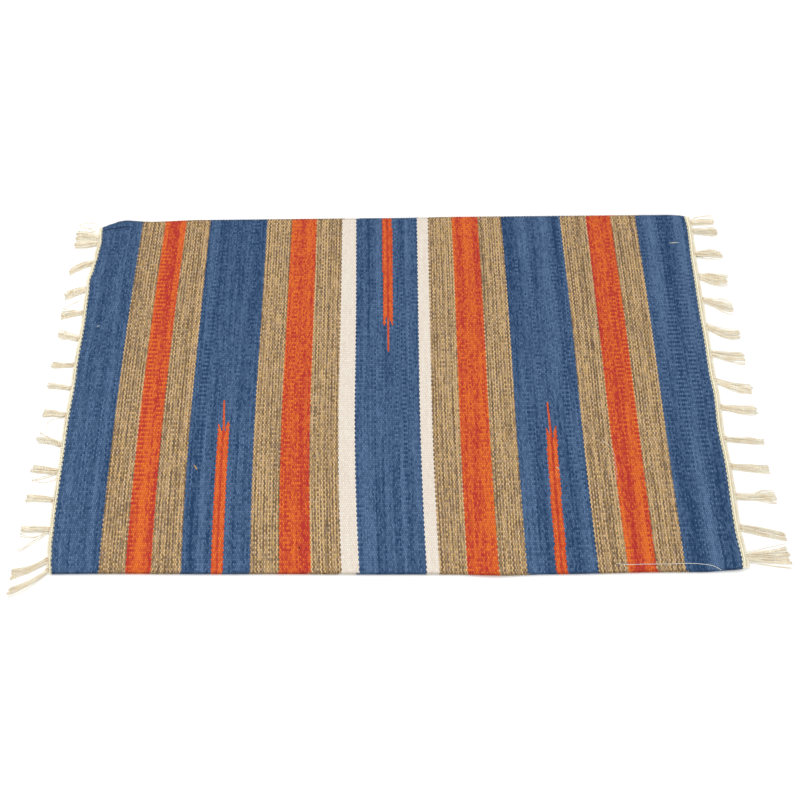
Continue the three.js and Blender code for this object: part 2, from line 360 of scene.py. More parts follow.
# A loose white thread and a hair that lie, a little sunk, on the cloth
THREADS = [
    ("loose_thread", 0.4, [
        (290, -289), (306, -290.4), (328, -290), (356, -290), (385, -289.5), (401, -290.5),
        (415, -293.4), (424, -299.3),
    ]),
    ("hair", 0.18, [(288, -102), (301, -117.5), (303, -140), (303, -164)]),
]
UNSUNK = 0.6
COURSE_STEPS = 6

# Both ends of the rug: the width of the heading, how far out the tassels reach in the
# middle, and the slant of the line along their tips
ENDS = {
    "left": {
        "side": -1, "heading": 5.2, "tassels": LEFT_TASSELS, "strands": LEFT_STRANDS,
        "reach": 489.5, "slant": -0.0175, "seed": 11,
    },
    "right": {
        "side": 1, "heading": 6.2, "tassels": RIGHT_TASSELS, "strands": RIGHT_STRANDS,
        "reach": 506, "slant": -0.0359, "seed": 23,
    },
}


# Small sums

def smooth(t):
    """Goes from 0 to 1 as t does, without a corner at either end."""
    s = min(1.0, max(0.0, t))
    return s * s * (3 - 2 * s)


def eased(table, place, column=1):
    """Reads a column of a table, easing from each row to the next."""
    if place <= table[0][0]:
        return table[0][column]
    for before, after in zip(table, table[1:]):
        if place <= after[0]:
            share = smooth((place - before[0]) / (after[0] - before[0]))
            return before[column] + (after[column] - before[column]) * share
    return table[-1][column]


def grid_line(column):
    """Columns of the cloth's grid draw closer towards the ends, where it is uneven."""
    even = 2 * column / CLOTH_COLUMNS - 1
    crowded = math.sin(math.pi / 2 * even)
    return CLOTH_LENGTH / 2 * (CROWDING * crowded + (1 - CROWDING) * even)


def lift_at(x, y):
    """How far the cloth is off the floor there."""
    lift = 0.0
    for place_x, place_y, reach_x, reach_y, height in LIFTS:
        across = (x - place_x) / reach_x
        along = (y - place_y) / reach_y
        lift += height * math.exp(-across * across - along * along)
    return lift if lift > LEAST_LIFT else 0.0


def on_cloth(u, v):
    """Where the point (u, v) of the true rectangle lies in the uneven cloth."""
    def near(beyond_edge):
        return smooth((beyond_edge + EDGE_BLEND) / EDGE_BLEND)

    half_length, half_width = CLOTH_LENGTH / 2, CLOTH_WIDTH / 2
    away = v / LEAN_REACH
    x = u + away * away * eased(LEAN, u, 1 if v > 0 else 2)
    x += near(u - half_length) * eased(RIGHT_EDGE, v)
    x -= near(-u - half_length) * eased(LEFT_EDGE, v)
    y = v + near(v - half_width) * eased(FAR_EDGE, u)
    y -= near(-v - half_width) * eased(NEAR_EDGE, u)
    return x, y


def seen(levels):
    """The colour to give a shader, so that it shows as these sRGB levels in the studio."""
    def channel(level):
        share = level / 255
        bright = share / 12.92 if share <= 0.04045 else ((share + 0.055) / 1.055) ** 2.4
        return bright / STUDIO_LIGHT
    return (*map(channel, levels), 1.0)


def glowing(levels):
    """The same for loose cotton, which light passes through."""
    *channels, alpha = seen(levels)
    return (*(min(MOST_WHITE, channel * COTTON_GLOW) for channel in channels), alpha)


# A short hand for node trees, so that a recipe reads as sums

class Wire:
    """The output of a node. Sums on it add the math nodes that work them out."""

    def __init__(self, bench, socket):
        self.bench = bench
        self.socket = socket

    def __add__(self, other):
        return self.bench.math("ADD", self, other)

    __radd__ = __add__

    def __sub__(self, other):
        return self.bench.math("SUBTRACT", self, other)

    def __rsub__(self, other):
        return self.bench.math("SUBTRACT", other, self)

    def __mul__(self, other):
        return self.bench.math("MULTIPLY", self, other)

    __rmul__ = __mul__

    def __truediv__(self, other):
        return self.bench.math("DIVIDE", self, other)

    def __gt__(self, other):
        return self.bench.math("GREATER_THAN", self, other)

    def __lt__(self, other):
        return self.bench.math("LESS_THAN", self, other)

    def __abs__(self):
        return self.bench.math("ABSOLUTE", self)


class Bench:
    """Adds nodes to a tree and wires them up."""

    def __init__(self, tree):
        self.tree = tree

    def node(self, kind, inputs=None, **settings):
        """Adds a node with these settings, and a value or a wire in each of these inputs."""
        made = self.tree.nodes.new(kind)
        for name, value in settings.items():
            setattr(made, name, value)
        for socket, value in (inputs or {}).items():
            self.feed(made.inputs[socket], value)
        return made

    def feed(self, socket, value):
        if isinstance(value, Wire):
            self.tree.links.new(value.socket, socket)
        else:
            socket.default_value = value

    def wire(self, node, output=0):
        return Wire(self, node.outputs[output])

    def put(self, kind, inputs=None, output=0, **settings):
        """Adds a node, and gives the wire that comes out of it."""
        return self.wire(self.node(kind, inputs, **settings), output)

    def math(self, operation, *values):
        return self.put("ShaderNodeMath", dict(enumerate(values)), operation=operation)

    def floor(self, value):
        return self.math("FLOOR", value)

    def clamp(self, value):
        return self.put("ShaderNodeClamp", {0: value, 1: 0.0, 2: 1.0})

    def ease(self, value, low, high, start=0.0, end=1.0):
        """Goes smoothly from start to end as value goes from low to high."""
        inputs = {0: value, 1: low, 2: high, 3: start, 4: end}
        return self.put("ShaderNodeMapRange", inputs, interpolation_type="SMOOTHSTEP")

    def vector(self, x, y, z=0.0):
        return self.put("ShaderNodeCombineXYZ", {0: x, 1: y, 2: z})

    def axes(self, vector):
        split = self.node("ShaderNodeSeparateXYZ", {0: vector})
        return [self.wire(split, axis) for axis in "XYZ"]

    def vector_math(self, operation, inputs):
        return self.put("ShaderNodeVectorMath", inputs, operation=operation)

    def noise(self, place, scale, detail):
        inputs = {"Vector": place, "Scale": scale, "Detail": detail}
        return self.put("ShaderNodeTexNoise", inputs)

    def chance(self, place):
        """A number from 0 to 1 that is different for each place."""
        return self.put("ShaderNodeTexWhiteNoise", {"Vector": place}, "Value")

    def mix(self, share, first, second, way="MIX"):
        inputs = {0: share, 6: first, 7: second}
        return self.put("ShaderNodeMix", inputs, 2, data_type="RGBA", blend_type=way)

    def bump(self, height, depth, strength):
        inputs = {"Height": height, "Distance": depth * MM, "Strength": strength}
        return self.put("ShaderNodeBump", inputs)

    def chart(self, share, points):
        """Reads a chart of (share, turns, strength) points."""
        node = self.node("ShaderNodeValToRGB", {0: share})
        stops = node.color_ramp.elements
        while len(stops) < len(points):
            stops.new(0.5)
        for stop, (place, turns, strength) in zip(stops, points):
            stop.position = place
            stop.color = (turns / MOST_TURNS, strength, 0.0, 1.0)
        split = self.node("ShaderNodeSeparateColor", {0: self.wire(node)})
        return self.wire(split, 0) * MOST_TURNS, self.wire(split, 1)


def new_material(name):
    material = bpy.data.materials.new(name)
    material.use_nodes = True
    return material, Bench(material.node_tree)


def set_looks(bench, looks):
    shader = bench.tree.nodes["Principled BSDF"]
    for name, value in looks.items():
        bench.feed(shader.inputs[name], value)


# Geometry trees

def new_tree(name, sizes):
    """A geometry tree with named number inputs: its bench, and a wire for each input."""
    tree = bpy.data.node_groups.new(name, "GeometryNodeTree")
    face = tree.interface
    face.new_socket("Geometry", in_out="INPUT", socket_type="NodeSocketGeometry")
    for label, value in sizes.items():
        size = face.new_socket(label, in_out="INPUT", socket_type="NodeSocketFloat")
        size.default_value = value
    face.new_socket("Material", in_out="INPUT", socket_type="NodeSocketMaterial")
    face.new_socket("Geometry", in_out="OUTPUT", socket_type="NodeSocketGeometry")
    bench = Bench(tree)
    start = bench.node("NodeGroupInput")
    inputs = {item.name: bench.wire(start, item.name)
              for item in face.items_tree if item.in_out == "INPUT"}
    return bench, inputs


def end_tree(bench, inputs, shape):
    """Makes the shape smooth and gives it the material, which ends its tree."""
    smooth_shape = bench.put("GeometryNodeSetShadeSmooth", {"Geometry": shape})
    real = bench.put("GeometryNodeRealizeInstances", {0: smooth_shape})
    dressed = bench.put(
        "GeometryNodeSetMaterial", {"Geometry": real, "Material": inputs["Material"]}
    )
    bench.node("NodeGroupOutput", {0: dressed})
    return bench.tree


def grow(name, source, tree, settings):
    """Runs a geometry tree on a source object and keeps the result as a plain mesh."""
    modifier = source.modifiers.new(tree.name, "NODES")
    modifier.node_group = tree
    for item in tree.interface.items_tree:
        if item.in_out == "INPUT" and item.name in settings:
            modifier[item.identifier] = settings[item.name]
    depsgraph = bpy.context.evaluated_depsgraph_get()
    mesh = bpy.data.meshes.new_from_object(source.evaluated_get(depsgraph))
    mesh.name = name
    bpy.data.objects.remove(source)
    return stand(name, mesh)


def stand(name, data):
    """Puts an object with this mesh, curve, lamp or camera in the scene."""
    piece = bpy.data.objects.new(name, data)
    bpy.context.scene.collection.objects.link(piece)
    return piece


def grow_along(name, tree, material, paths, sizes):
    """Runs a geometry tree on some paths of points in millimetres."""
    curves = bpy.data.curves.new(name + "_paths", "CURVE")
    curves.dimensions = "3D"
    for path in paths:
        spline = curves.splines.new("POLY")
        spline.points.add(len(path) - 1)
        for point, (x, y, z) in zip(spline.points, path):
            point.co = (x * MM, y * MM, z * MM, 1.0)
    return grow(name, stand(name + "_paths", curves), tree, {"Material": material, **sizes})


def rib_tree():
    """Presses the furrows between the warps into both faces of the cloth."""
    bench, inputs = new_tree("Warp ribs", {
        "Warp pitch": WARP_PITCH * MM,
        "Rib depth": RIB_DEPTH * MM, "Unevenness": RIB_UNEVENNESS * MM,
    })
    cloth = bench.put(
        "GeometryNodeInputNamedAttribute", {"Name": "Weave"}, data_type="FLOAT_VECTOR"
    )
    _, v, _ = bench.axes(cloth)
    furrow = bench.math("COSINE", v / inputs["Warp pitch"] * math.tau) * 0.5 + 0.5
    lie = bench.noise(cloth, 22.0, 2.0) - 0.85
    push = lie * inputs["Unevenness"] - furrow * inputs["Rib depth"]
    normal = bench.put("GeometryNodeInputNormal")
    moved = bench.put("GeometryNodeSetPosition", {
        "Geometry": inputs["Geometry"],
        "Offset": bench.vector_math("SCALE", {0: normal, "Scale": push}),
    })
    return end_tree(bench, inputs, moved)


def stepped(bench, curve, step):
    inputs = {"Curve": curve, "Length": step}
    return bench.put("GeometryNodeResampleCurve", inputs, mode="LENGTH")


def circle(bench, sides, radius):
    return bench.put("GeometryNodeCurvePrimitiveCircle", {"Resolution": sides, "Radius": radius})


def sweep(bench, path, outline):
    inputs = {"Curve": path, "Profile Curve": outline, "Fill Caps": True}
    return bench.put("GeometryNodeCurveToMesh", inputs)


def yarn_tree():
    """Spins a two-ply yarn along each path."""
    bench, inputs = new_tree("Two-ply yarn", {
        "Radius": YARN_RADIUS * MM, "Flatness": YARN_FLATNESS,
        "Twist pitch": YARN_TWIST * MM, "Step": YARN_STEP * MM,
    })
    along = bench.put("GeometryNodeSplineParameter", output="Length")
    turned = bench.put("GeometryNodeSetCurveTilt", {
        "Curve": stepped(bench, inputs["Geometry"], inputs["Step"]),
        "Tilt": along / inputs["Twist pitch"] * math.tau,
    })
    plies = bench.put("GeometryNodeTransform", {
        "Geometry": circle(bench, 6, inputs["Radius"]),
        "Scale": bench.vector(1.0, inputs["Flatness"], 1.0),
    })
    return end_tree(bench, inputs, sweep(bench, turned, plies))


def wrap_tree():
    """Turns a yarn round and round a path, as the weft turns round the last warp."""
    bench, inputs = new_tree("Wrapped edge", {
        "Pitch": PICK_PITCH * 2 * MM, "Half width": LOOP_HALF_WIDTH * MM,
        "Half height": LOOP_HALF_HEIGHT * MM, "Yarn radius": LOOP_YARN_RADIUS * MM,
        "Edge": 0.0,
    })
    along = bench.put("GeometryNodeSplineParameter", output="Length")
    share = bench.put("GeometryNodeSplineParameter", output="Factor")
    kept = bench.put("GeometryNodeStoreNamedAttribute", {
        "Geometry": stepped(bench, inputs["Geometry"], inputs["Pitch"] / LOOP_STEPS),
        "Name": "share", "Value": share,
    }, data_type="FLOAT", domain="POINT")
    tangent = bench.put("GeometryNodeInputTangent")
    sideways = bench.vector_math("CROSS_PRODUCT", {0: tangent, 1: (0.0, 0.0, 1.0)})
    turn = along / inputs["Pitch"] * math.tau
    uneven = bench.noise(bench.vector(along * 260.0, 0.5, 0.5), 1.0, 1.0) * 0.5 + 0.75
    out = bench.math("COSINE", turn) * inputs["Half width"] * uneven
    up = bench.math("SINE", turn) * inputs["Half height"]
    aside = bench.vector_math("SCALE", {0: sideways, "Scale": out})
    coiled = bench.put("GeometryNodeSetPosition", {
        "Geometry": kept,
        "Offset": bench.vector_math("ADD", {0: aside, 1: bench.vector(0.0, 0.0, up)}),
    })
    place = bench.put("GeometryNodeInputNamedAttribute", {"Name": "share"}, data_type="FLOAT")
    cloth_u = (place - 0.5) * (CLOTH_LENGTH * MM)
    woven = bench.put("GeometryNodeStoreNamedAttribute", {
        "Geometry": sweep(bench, coiled, circle(bench, 5, inputs["Yarn radius"])),
        "Name": "Weave", "Value": bench.vector(cloth_u, inputs["Edge"]),
    }, data_type="FLOAT2", domain="CORNER")
    return end_tree(bench, inputs, woven)


# Materials

def weave_places(bench):
    """Finds the pick that shows at each point of the cloth, and the place on its float.

    Even and odd picks take turns to lie on top from warp to warp, so their edges wave.
    """
    cloth_u, cloth_v, _ = bench.axes(bench.put("ShaderNodeUVMap", uv_map="Weave"))
    u, v = cloth_u / MM, cloth_v / MM
    pick_place = (u + CLOTH_LENGTH / 2) / PICK_PITCH
    warp_place = (v + CLOTH_WIDTH / 2) / WARP_PITCH - 0.5
    swell = bench.math("COSINE", warp_place * math.pi)
    even_pick = bench.floor(pick_place / 2 + 0.5) * 2
    odd_pick = bench.floor(pick_place / 2) * 2 + 1
    odd = abs(pick_place - even_pick) > (swell + 1) / 2
    pick = even_pick + odd * (odd_pick - even_pick)
    even_row = bench.floor(warp_place / 2 + 0.5) * 2
    odd_row = bench.floor(warp_place / 2) * 2 + 1
    row = even_row + odd * (odd_row - even_row)
    half_width = bench.math("MAXIMUM", (1 + swell * (1 - odd * 2)) / 2, 0.05)
    return {
        "u": u, "v": v, "odd": odd, "pick": pick, "row": row,
        "pick_u": pick * PICK_PITCH - CLOTH_LENGTH / 2,
        "row_v": (row + 0.5) * WARP_PITCH - CLOTH_WIDTH / 2,
        "across": (pick_place - pick) / half_width,
        "along": warp_place - row,
    }


def total(wires):
    return sum(wires[1:], wires[0])


def stripe_masks(pick_u):
    """The stripes of each yarn, each with a mask of 0 or 1 by the pick that shows."""
    stripes = {yarn: [] for yarn, _ in STRIPES}
    start = -CLOTH_LENGTH / 2
    for yarn, end in STRIPES:
        inside = (pick_u > start) * (pick_u < end)
        stripes[yarn].append({"mask": inside, "start": start, "end": end})
        start = end
    return stripes


def of_stripes(stripes, values):
    """The value that belongs to the stripe that shows, or 0."""
    return total([stripe["mask"] * value for stripe, value in zip(stripes, values)])


def pick_noise(bench, places, reach, seed):
    """Differs from pick to pick, and changes along each pick over the reach."""
    place = bench.vector(places["pick"] * 7.31, places["v"] / reach, seed + 0.5)
    return (bench.noise(place, 1.0, 0.0) - 0.5) * 3.5


def dye_tone(bench, stripes, charts, places):
    """The space-dyed yarn goes across and comes back, so warps take turns to show it."""
    turns, depths = [], []
    for stripe, chart in zip(stripes, charts):
        width = stripe["end"] - stripe["start"]
        share = bench.clamp((places["pick_u"] - stripe["start"]) / width)
        turn, depth = bench.chart(share, chart)
        turns.append(turn)
        depths.append(depth)
    way = places["odd"] * 2 - 1
    along = way * (0.5 - places["v"] / CLOTH_WIDTH) * math.pi
    angle = of_stripes(stripes, turns) * math.tau + along
    return of_stripes(stripes, depths) * bench.math("COSINE", angle)


def marled_tone(bench, places):
    """Two plies turn slowly about each other, so picks take turns to show a light side."""
    start = bench.chance(bench.vector(places["pick"], 4.0)) * 0.1
    way = 1 - places["odd"] * 2
    turn = places["pick"] * MARL_STEP + start + way * places["v"] / MARL_TWIST
    turn = turn + pick_noise(bench, places, MARL_STREAK, 11) * MARL_WOBBLE
    across = bench.math("MAXIMUM", -1.0, bench.math("MINIMUM", 1.0, places["across"]))
    return bench.math("COSINE", bench.math("ARCSINE", across) + turn * math.tau)


def dart_masks(bench, places):
    """Where the darts are, and how red they are there."""
    whole, red = [], []
    for dart in DARTS:
        half_width, notch, depth = dart["half_width"], dart["notch"], dart["depth"]
        inwards = CLOTH_WIDTH / 2 - places["row_v"] * dart["side"]
        middle = dart["middle"] + inwards * (dart["lean"] / notch)
        place = places["pick_u"] - middle
        away = abs(place)
        left, right = dart["prongs"]
        prong = left + (place > 0) * (right - left)
        slope = bench.clamp((away - SPIKE_HALF_WIDTH) / PRONG_RUN)
        bar = (away < half_width) * (inwards < notch + (prong - notch) * slope)
        base, tip = dart["spike"]
        climb = bench.clamp((inwards - notch) / (depth - notch))
        from_spike = abs(places["u"] - (base + climb * (tip - base)))
        spike = from_spike < SPIKE_HALF_WIDTH - climb * SPIKE_TAPER
        spike = spike * (inwards < depth) * (inwards > notch - SPIKE_ROOT)
        wander = pick_noise(bench, places, CORE_STREAK, 31) * CORE_WANDER
        core = abs(places["u"] - middle + wander) < CORE_HALF_WIDTH
        outer = away > half_width - OUTER_PICKS
        reddish = bench.math("MAXIMUM", core * CORE_RED, outer * OUTER_RED)
        whole.append(bench.math("MAXIMUM", bar, spike))
        red.append(bar * reddish + spike * SPIKE_RED)
    return bench.clamp(total(whole)), bench.clamp(total(red))


def lint_and_shade_mask(bench, places, start, end, half_width):
    """Where a bit of lint, or a line of painted shade, lies on the cloth, thickest in its middle.
    """
    run_u, run_v = end[0] - start[0], end[1] - start[1]
    length = math.hypot(run_u, run_v)
    from_u, from_v = places["u"] - start[0], places["v"] - start[1]
    along = (from_u * (run_u / length) + from_v * (run_v / length)) / length
    aside = abs(from_u * (run_v / length) - from_v * (run_u / length))
    thickness = 1 - (along * 2 - 1) * (along * 2 - 1)
    return bench.ease(thickness - aside / half_width, 0.0, 0.35)


def unevenness(bench, places):
    """What makes one float of yarn lighter or darker than the next."""
    pick, row, v = places["pick"], places["row"], places["v"]
    short = pick_noise(bench, places, SHORT_STREAK, 1)
    long = pick_noise(bench, places, LONG_STREAK, 2)
    whole_pick = bench.chance(bench.vector(pick, 9.0)) * 2 - 1
    return {
        "short": short, "long": long, "pick": whole_pick,
        "streak": short * 0.2 + long * 0.66 + whole_pick * 0.4,
        "own": bench.chance(bench.vector(pick, row)) * 2 - 1,
        "bands": bench.noise(bench.vector(pick * 0.37, v / 300, 5.5), 1.0, 0.0) - 0.5,
        "tint": bench.chance(bench.vector(pick, row, 3.0)),
    }


def yarn_share(bench, yarn, uneven, tone):
    """How light a yarn is, from 0 to 1, where its dye or its twist gives it this tone."""
    strays = [uneven[cause] * amount for cause, amount in YARNS[yarn]["stray"].items()]
    return bench.clamp((total(strays) + tone) * 0.5 + 0.5)


def yarn_side(bench, yarn, side, uneven):
    """The dark or the light side of a yarn, mixed from its colours if there are two."""
    colours = [seen(levels) for levels in YARNS[yarn][side]]
    return bench.mix(uneven["tint"], *colours) if len(colours) > 1 else colours[0]


def yarn_colour(bench, yarn, uneven, tone=0.0):
    share = yarn_share(bench, yarn, uneven, tone)
    dark, light = (yarn_side(bench, yarn, side, uneven) for side in ("dark", "light"))
    return bench.mix(share, dark, light)


def stripe_colours(bench, places, stripes, uneven):
    """The colour of each stripe, and of the headings beyond the last of them."""
    blue_dye = dye_tone(bench, stripes["blue"], BLUE_DYE, places) * BLUE_DYE_DEPTH
    tones = {
        "blue": blue_dye + of_stripes(stripes["blue"], BLUE_CAST),
        "shaded": dye_tone(bench, stripes["shaded"], WARM_DYE, places) * WARM_DYE_DEPTH,
        "marl": marled_tone(bench, places) * MARL_DEPTH,
        "cream": 0.0,
    }
    heading = yarn_share(bench, "marl", uneven, tones["marl"])
    colour = bench.mix(heading, *map(glowing, HEADING))
    for yarn, tone in tones.items():
        shows = total([stripe["mask"] for stripe in stripes[yarn]])
        colour = bench.mix(shows, colour, yarn_colour(bench, yarn, uneven, tone))
    return colour


def dart_colour(bench, uneven, red):
    orange_yarn, red_yarn = (yarn_colour(bench, yarn, uneven) for yarn in ("orange", "red"))
    return bench.mix(red, orange_yarn, red_yarn)


def float_relief(bench, places):
    """How far a float stands up: it is round across, and arched along its length."""
    round_across = bench.math("MAXIMUM", 1 - places["across"] * places["across"], 0.0)
    arch = bench.math("COSINE", places["along"] * (math.pi / 2))
    return bench.math("SQRT", round_across) * arch


def furrow_shade(bench, places, stripes, relief):
    """Furrows are dark, but less so between undyed floats, which pass light on."""
    dyed = [stripe["mask"] for yarn in ("blue", "marl", "shaded") for stripe in stripes[yarn]]
    undyed = bench.clamp(1 - total(dyed))
    deepest = undyed * (CREAM_FURROW_SHADE - FURROW_SHADE) + FURROW_SHADE
    from_line = abs(abs(places["v"]) - SELVEDGE_LINE)
    beside_selvedge = bench.ease(from_line, 0.3, 1.0, SELVEDGE_SHADE, 1.0)
    return bench.ease(relief, 0.0, 0.8, deepest, 1.0) * beside_selvedge


def cloth_material():
    """Weft-faced plain weave: stripes, space-dyed bands, marled yarn and darts."""
    material, bench = new_material("woven_cotton")
    places = weave_places(bench)
    u, v = places["u"], places["v"]
    stripes = stripe_masks(places["pick_u"])
    uneven = unevenness(bench, places)

    colour = stripe_colours(bench, places, stripes, uneven)
    dart, red = dart_masks(bench, places)
    colour = bench.mix(dart, colour, dart_colour(bench, uneven, red))
    # Lint, and painted shade along a crease near a corner
    for start, end, half_width, levels in LINT_AND_CREASE_SHADE:
        lint_and_shade = lint_and_shade_mask(bench, places, start, end, half_width)
        colour = bench.mix(lint_and_shade, colour, seen(levels))

    relief = float_relief(bench, places)
    fibres = bench.noise(bench.vector(u * 2.2 + v * 0.8, v * 0.5), 1.0, 3.0)
    shade = furrow_shade(bench, places, stripes, relief) * (fibres * 0.3 + 0.85)
    # Painted light: the colour is made paler towards the near edge and darker towards the far one
    shade = shade * (1 - v * (2 * PAINTED_LIGHT_FALLOFF / CLOTH_WIDTH))
    set_looks(bench, {
        "Base Color": bench.mix(1.0, colour, shade, "MULTIPLY"),
        "Normal": bench.bump(relief + fibres * 0.25, depth=0.6, strength=0.55),
        "Roughness": 0.95, "Specular IOR Level": 0.2,
    })
    return material


def cotton_material(name, sides):
    """Undyed cotton, a little darker in patches and between its fibres."""
    material, bench = new_material(name)
    place = bench.put("ShaderNodeTexCoord", output="Object")
    patches = bench.noise(place, 90.0, 2.0)
    x, y, z = bench.axes(place)
    fibres = bench.noise(bench.vector(x * 0.2, y, z), 1500.0, 2.0)
    tone = bench.clamp((patches - 0.5) * 1.6 + (fibres - 0.5) * 1.2 + 0.5)
    set_looks(bench, {
        "Base Color": bench.mix(tone, *map(glowing, sides)),
        "Normal": bench.bump(fibres, depth=0.2, strength=0.4),
        "Roughness": 0.9, "Specular IOR Level": 0.2,
    })
    return material


def floor_material():
    """A white floor with faint patches."""
    material, bench = new_material("pale_floor")
    place = bench.put("ShaderNodeTexCoord", output="Object")
    tone = bench.noise(place, 3.0, 2.0)
    set_looks(bench, {"Base Color": bench.mix(tone, *FLOOR_COLOURS), "Roughness": 0.85})
    return material


# Pieces: the cloth, then the paths and the sizes of each other piece

def woven_cloth(material):
    """The striped cloth, both faces and its rim, in one closed sheet."""
    columns, rows = CLOTH_COLUMNS, WARPS * STEPS_PER_WARP
    places, weave, faces = [], [], []
    for upper in (True, False):
        for row in range(rows + 1):
            v = CLOTH_WIDTH * (row / rows - 0.5)
            for column in range(columns + 1):
                u = grid_line(column)
                x, y = on_cloth(u, v)
                on_rim = row in (0, rows) or column in (0, columns)
                height = CLOTH_THICKNESS if upper else 0.0
                if on_rim:
                    height += -RIM_DROP if upper else RIM_DROP / 2
                places.append((x * MM, y * MM, (height + lift_at(x, y)) * MM))
                weave.append((u * MM, v * MM))
    layer = (rows + 1) * (columns + 1)

    def corner(upper, row, column):
        return (0 if upper else layer) + row * (columns + 1) + column

    for row in range(rows):
        for column in range(columns):
            ring = [(row, column), (row, column + 1), (row + 1, column + 1), (row + 1, column)]
            faces.append([corner(True, *place) for place in ring])
            faces.append([corner(False, *place) for place in reversed(ring)])
    border = [(0, c) for c in range(columns)] + [(r, columns) for r in range(rows)]
    border += [(rows, c) for c in range(columns, 0, -1)] + [(r, 0) for r in range(rows, 0, -1)]
    for before, after in zip(border, border[1:] + border[:1]):
        faces.append([
            corner(True, *before), corner(False, *before),
            corner(False, *after), corner(True, *after),
        ])
    mesh = bpy.data.meshes.new("cloth_blank")
    mesh.from_pydata(places, [], faces)
    layer_uv = mesh.uv_layers.new(name="Weave")
    for loop in mesh.loops:
        layer_uv.data[loop.index].uv = weave[loop.vertex_index]
    blank = stand("cloth_blank", mesh)
    return grow("woven_cloth", blank, rib_tree(), {"Material": material})


def edge_point(end, v):
    """The cloth's edge at one end, at v along its true length."""
    return on_cloth(end["side"] * CLOTH_LENGTH / 2, v)


def selvedge(v):
    """The weft's loops round the outermost warp of one long edge."""
    path = []
    for step in range(SELVEDGE_STEPS + 1):
        u = CLOTH_LENGTH * (step / SELVEDGE_STEPS - 0.5)
        x, y = on_cloth(u, v)
        path.append((x, y, CLOTH_THICKNESS / 2 + lift_at(x, y)))
    return [path], {"Edge": v * MM}


def end_path(end, height, out):
    """A path along one end of the cloth, as far out from its edge as out(v) says."""
    path = []
    for step in range(HEADING_STEPS + 1):
        v = CLOTH_WIDTH * (step / HEADING_STEPS - 0.5)
        x, y = edge_point(end, v)
        path.append((x + end["side"] * out(v), y, height + lift_at(x, y)))
    return path


def heading_cord(end):
    """The twined cord that lies against the last blue pick."""
    return [end_path(end, CORD_HEIGHT, lambda v: CORD_OUT)], {
        "Radius": CORD_RADIUS * MM, "Flatness": CORD_FLATNESS,
        "Twist pitch": -end["side"] * TWINE_PITCH * MM, "Step": CORD_STEP * MM,
    }


def heading_wrap(end):
    """The warp ends, turned over side by side beyond the cord."""
    width = end["heading"] - CORD_REACH

    def out(v):
        slow, quick = 0.35 * math.sin(v / 17), 0.25 * math.sin(v / 6.1)
        return CORD_REACH + width / 2 + slow + quick

    return [end_path(end, WRAP_HEIGHT, out)], {
        "Pitch": WRAP_PITCH * MM, "Half width": (width / 2 - WRAP_YARN_RADIUS * 0.5) * MM,
        "Half height": WRAP_HALF_HEIGHT * MM, "Yarn radius": WRAP_YARN_RADIUS * MM,
    }


def root_of(end, root):
    """Where a tassel comes out of the heading: how far out, and how far along."""
    edge_x, edge_y = edge_point(end, root)
    return abs(edge_x) + end["heading"] - ROOT_INSET, edge_y


def knots(end):
    """A knot of a turn or two at the root of each tassel."""
    paths = []
    for root, *_ in end["tassels"]:
        reach, y = root_of(end, root)
        height = KNOT_HEIGHT + lift_at(*edge_point(end, root))
        paths.append([
            (end["side"] * (reach + KNOT_LENGTH * step / KNOT_STEPS), y, height)
            for step in range(KNOT_STEPS + 1)
        ])
    return paths, {
        "Pitch": KNOT_PITCH * MM, "Half width": KNOT_HALF_WIDTH * MM,
        "Half height": KNOT_HALF_HEIGHT * MM, "Yarn radius": KNOT_YARN_RADIUS * MM,
    }


def through_three(before, middle, after, t):
    """A smooth course through three values, at t of 0, a half and 1."""
    return (before * (1 - t) * (1 - 2 * t) + middle * 4 * t * (1 - t)
            + after * t * (2 * t - 1))


def wave(draw, height, length):
    """A wave that grows from nothing along a path, as a function of the share of its way."""
    phase = draw.uniform(0, math.tau)
    turns = draw.uniform(0.6, 1.4) / length

    def at(t):
        return height * (math.sin(phase + t * turns * math.tau) - math.sin(phase)) * t

    return at


def yarn_path(end, tassel, spread, draw, lock_wave=None, lock_reach=0.0):
    """One warp end: out of the knot, down to the floor and out to its tip."""
    root, root_width, middle, middle_width, tip, tip_width = tassel
    root_reach, root_y = root_of(end, root)
    tip_y = tip + spread * tip_width / 2
    tip_reach = end["reach"] + end["slant"] * tip_y + lock_reach
    tip_reach += UNEVEN_YARNS * draw.uniform(-0.5, 0.5)
    bulge = math.sqrt(max(0.0, 1 - min(1.0, abs(spread)) ** 2))
    layer = draw.uniform(0, 1) * bulge
    own_wave = wave(draw, draw.uniform(0.1, 0.45), 0.6)
    lift = lift_at(end["side"] * root_reach, root)
    path = []
    for step in range(YARN_BENDS + 1):
        t = step / YARN_BENDS
        middle_y = through_three(root_y, middle, tip, t)
        width = through_three(root_width * ROOT_SQUEEZE, middle_width, tip_width, t)
        y = middle_y + spread * width / 2 + own_wave(t)
        if lock_wave:
            y += lock_wave(t)
        thickness = ROOT_THICKNESS + (TIP_THICKNESS - ROOT_THICKNESS) * t
        height = YARN_RADIUS + layer * thickness
        height += (ROOT_RISE + lift) * (1 - smooth(t / ROOT_FALL))
        reach = root_reach + (tip_reach - root_reach) * t
        path.append((end["side"] * reach, y, height))
    return path


def tassels(end):
    """Each tassel is a few locks of yarns, and each lock has its own waves and length."""
    draw = random.Random(end["seed"])
    paths = []
    for tassel in end["tassels"]:
        _, _, _, middle_width, _, tip_width = tassel
        locks = max(LEAST_LOCKS, round((middle_width + tip_width) / 2 / LOCK_WIDTH))
        for lock in range(locks):
            lock_spread = (lock + 0.5) / locks * 2 - 1
            lock_wave = wave(draw, LOCK_WAVE * draw.uniform(0.4, 1.0), 0.7)
            lock_reach = UNEVEN_LOCKS * draw.uniform(-0.5, 0.5)
            for _ in range(YARNS_PER_LOCK):
                spread = lock_spread + draw.uniform(-1.15, 1.15) / locks
                paths.append(yarn_path(end, tassel, spread, draw, lock_wave, lock_reach))
    return paths, {}


